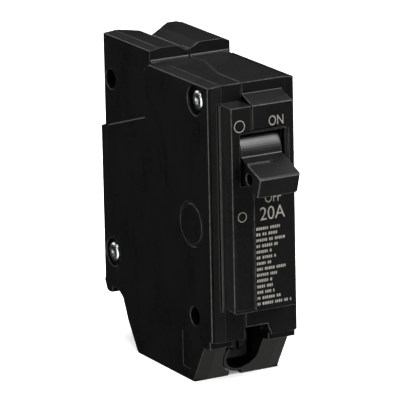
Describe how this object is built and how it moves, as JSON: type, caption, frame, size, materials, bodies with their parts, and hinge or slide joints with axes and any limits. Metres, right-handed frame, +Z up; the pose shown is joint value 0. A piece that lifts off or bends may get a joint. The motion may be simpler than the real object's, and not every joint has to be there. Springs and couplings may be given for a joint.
{
  "type": "plug-in circuit breaker",
  "caption": "One-pole, one-inch plug-in thermal-magnetic circuit breaker in a black moulded case, handle at OFF.",
  "frame": {"origin": "middle of the bottom of the whole breaker's box, with the handle at OFF", "axes": "+Z up along the case's height, +Y to the rear, where the bus stab plugs in, and the handle faces -Y; +X to the right as seen from the handle side"},
  "size_m": [0.0252, 0.075, 0.0843],
  "materials": {
    "case_black": "satin moulded thermoset",
    "handle_black": "smooth satin",
    "rivet_steel": "bright plated",
    "zinc_steel": "zinc plated",
    "spring_steel": "drawn wire",
    "copper": "rolled copper",
    "tinned_copper": "tin plated",
    "copper_braid": "woven wire",
    "silver_contact": "sintered silver",
    "bimetal_strip": "rolled",
    "brass_screw": "turned",
    "plated_screw": "zinc plated",
    "grey_fibre": "pressed fibre board"
  },
  "bodies": {
    "case": {"left_cover": "case_black", "right_base": "case_black", "case_rivets": "rivet_steel", "handle_pin": "zinc_steel", "line_strap": "copper", "stationary_contact": "silver_contact", "line_jaw": "tinned_copper", "jaw_springs": "spring_steel", "cradle_pin": "zinc_steel", "armature_pin": "zinc_steel", "magnet_yoke": "zinc_steel", "load_strap": "copper", "calibration_screw": "brass_screw", "arc_plates": "zinc_steel", "arc_chute_holder": "grey_fibre", "vent_baffle": "grey_fibre"},
    "handle": {"handle": "handle_black"},
    "contact_arm": {"contact_arm": "copper", "arm_pins": "zinc_steel", "moving_contact": "silver_contact", "toggle_spring": "spring_steel", "flexible_braid": "copper_braid"},
    "cradle": {"cradle": "zinc_steel"},
    "armature": {"armature": "zinc_steel", "armature_spring": "spring_steel"},
    "bimetal": {"bimetal": "bimetal_strip"},
    "wire_clamp": {"pressure_plate": "plated_screw"},
    "terminal_screw": {"terminal_screw": "plated_screw"}
  },
  "joints": [
    {"name": "handle_throw", "type": "hinge", "parent": "case", "child": "handle", "pos_m": [-0.0002, -0.01895, 0.0618], "axis": [-1, 0, 0], "range_deg": [0, 36]},
    {"name": "contact_arm_swing", "type": "hinge", "parent": "handle", "child": "contact_arm", "pos_m": [-0.0002, -0.01034, 0.0646], "axis": [1, 0, 0], "range_deg": [0, 60], "deforming": ["toggle_spring", "flexible_braid"]},
    {"name": "cradle_trip", "type": "hinge", "parent": "case", "child": "cradle", "pos_m": [0.0069, 0.00485, 0.068], "axis": [1, 0, 0], "range_deg": [0, 10]},
    {"name": "armature_pull", "type": "hinge", "parent": "case", "child": "armature", "pos_m": [-0.0002, 0.00185, 0.0328], "axis": [1, 0, 0], "range_deg": [0, 5], "stiffness_Nm_per_rad": 0.02, "springref_deg": -5.73, "deforming": ["armature_spring"]},
    {"name": "bimetal_flex", "type": "hinge", "parent": "case", "child": "bimetal", "pos_m": [-0.0002, 0.00525, 0.0044], "axis": [-1, 0, 0], "range_deg": [0, 2.5], "stiffness_Nm_per_rad": 0.5},
    {"name": "clamp_slide", "type": "slide", "parent": "case", "child": "wire_clamp", "axis": [0, 1, 0], "range_m": [0, 0.003]},
    {"name": "screw_turn", "type": "hinge", "parent": "wire_clamp", "child": "terminal_screw", "pos_m": [-0.00015, -0.01115, 0.0102], "axis": [0, 1, 0], "range_deg": [0, 1350.5]}
  ],
  "couplings": [
    {"joint": "contact_arm_swing", "follows": "handle_throw", "ratio": 1.6667},
    {"joint": "screw_turn", "follows": "clamp_slide", "rad_per_m": 7854}
  ]
}
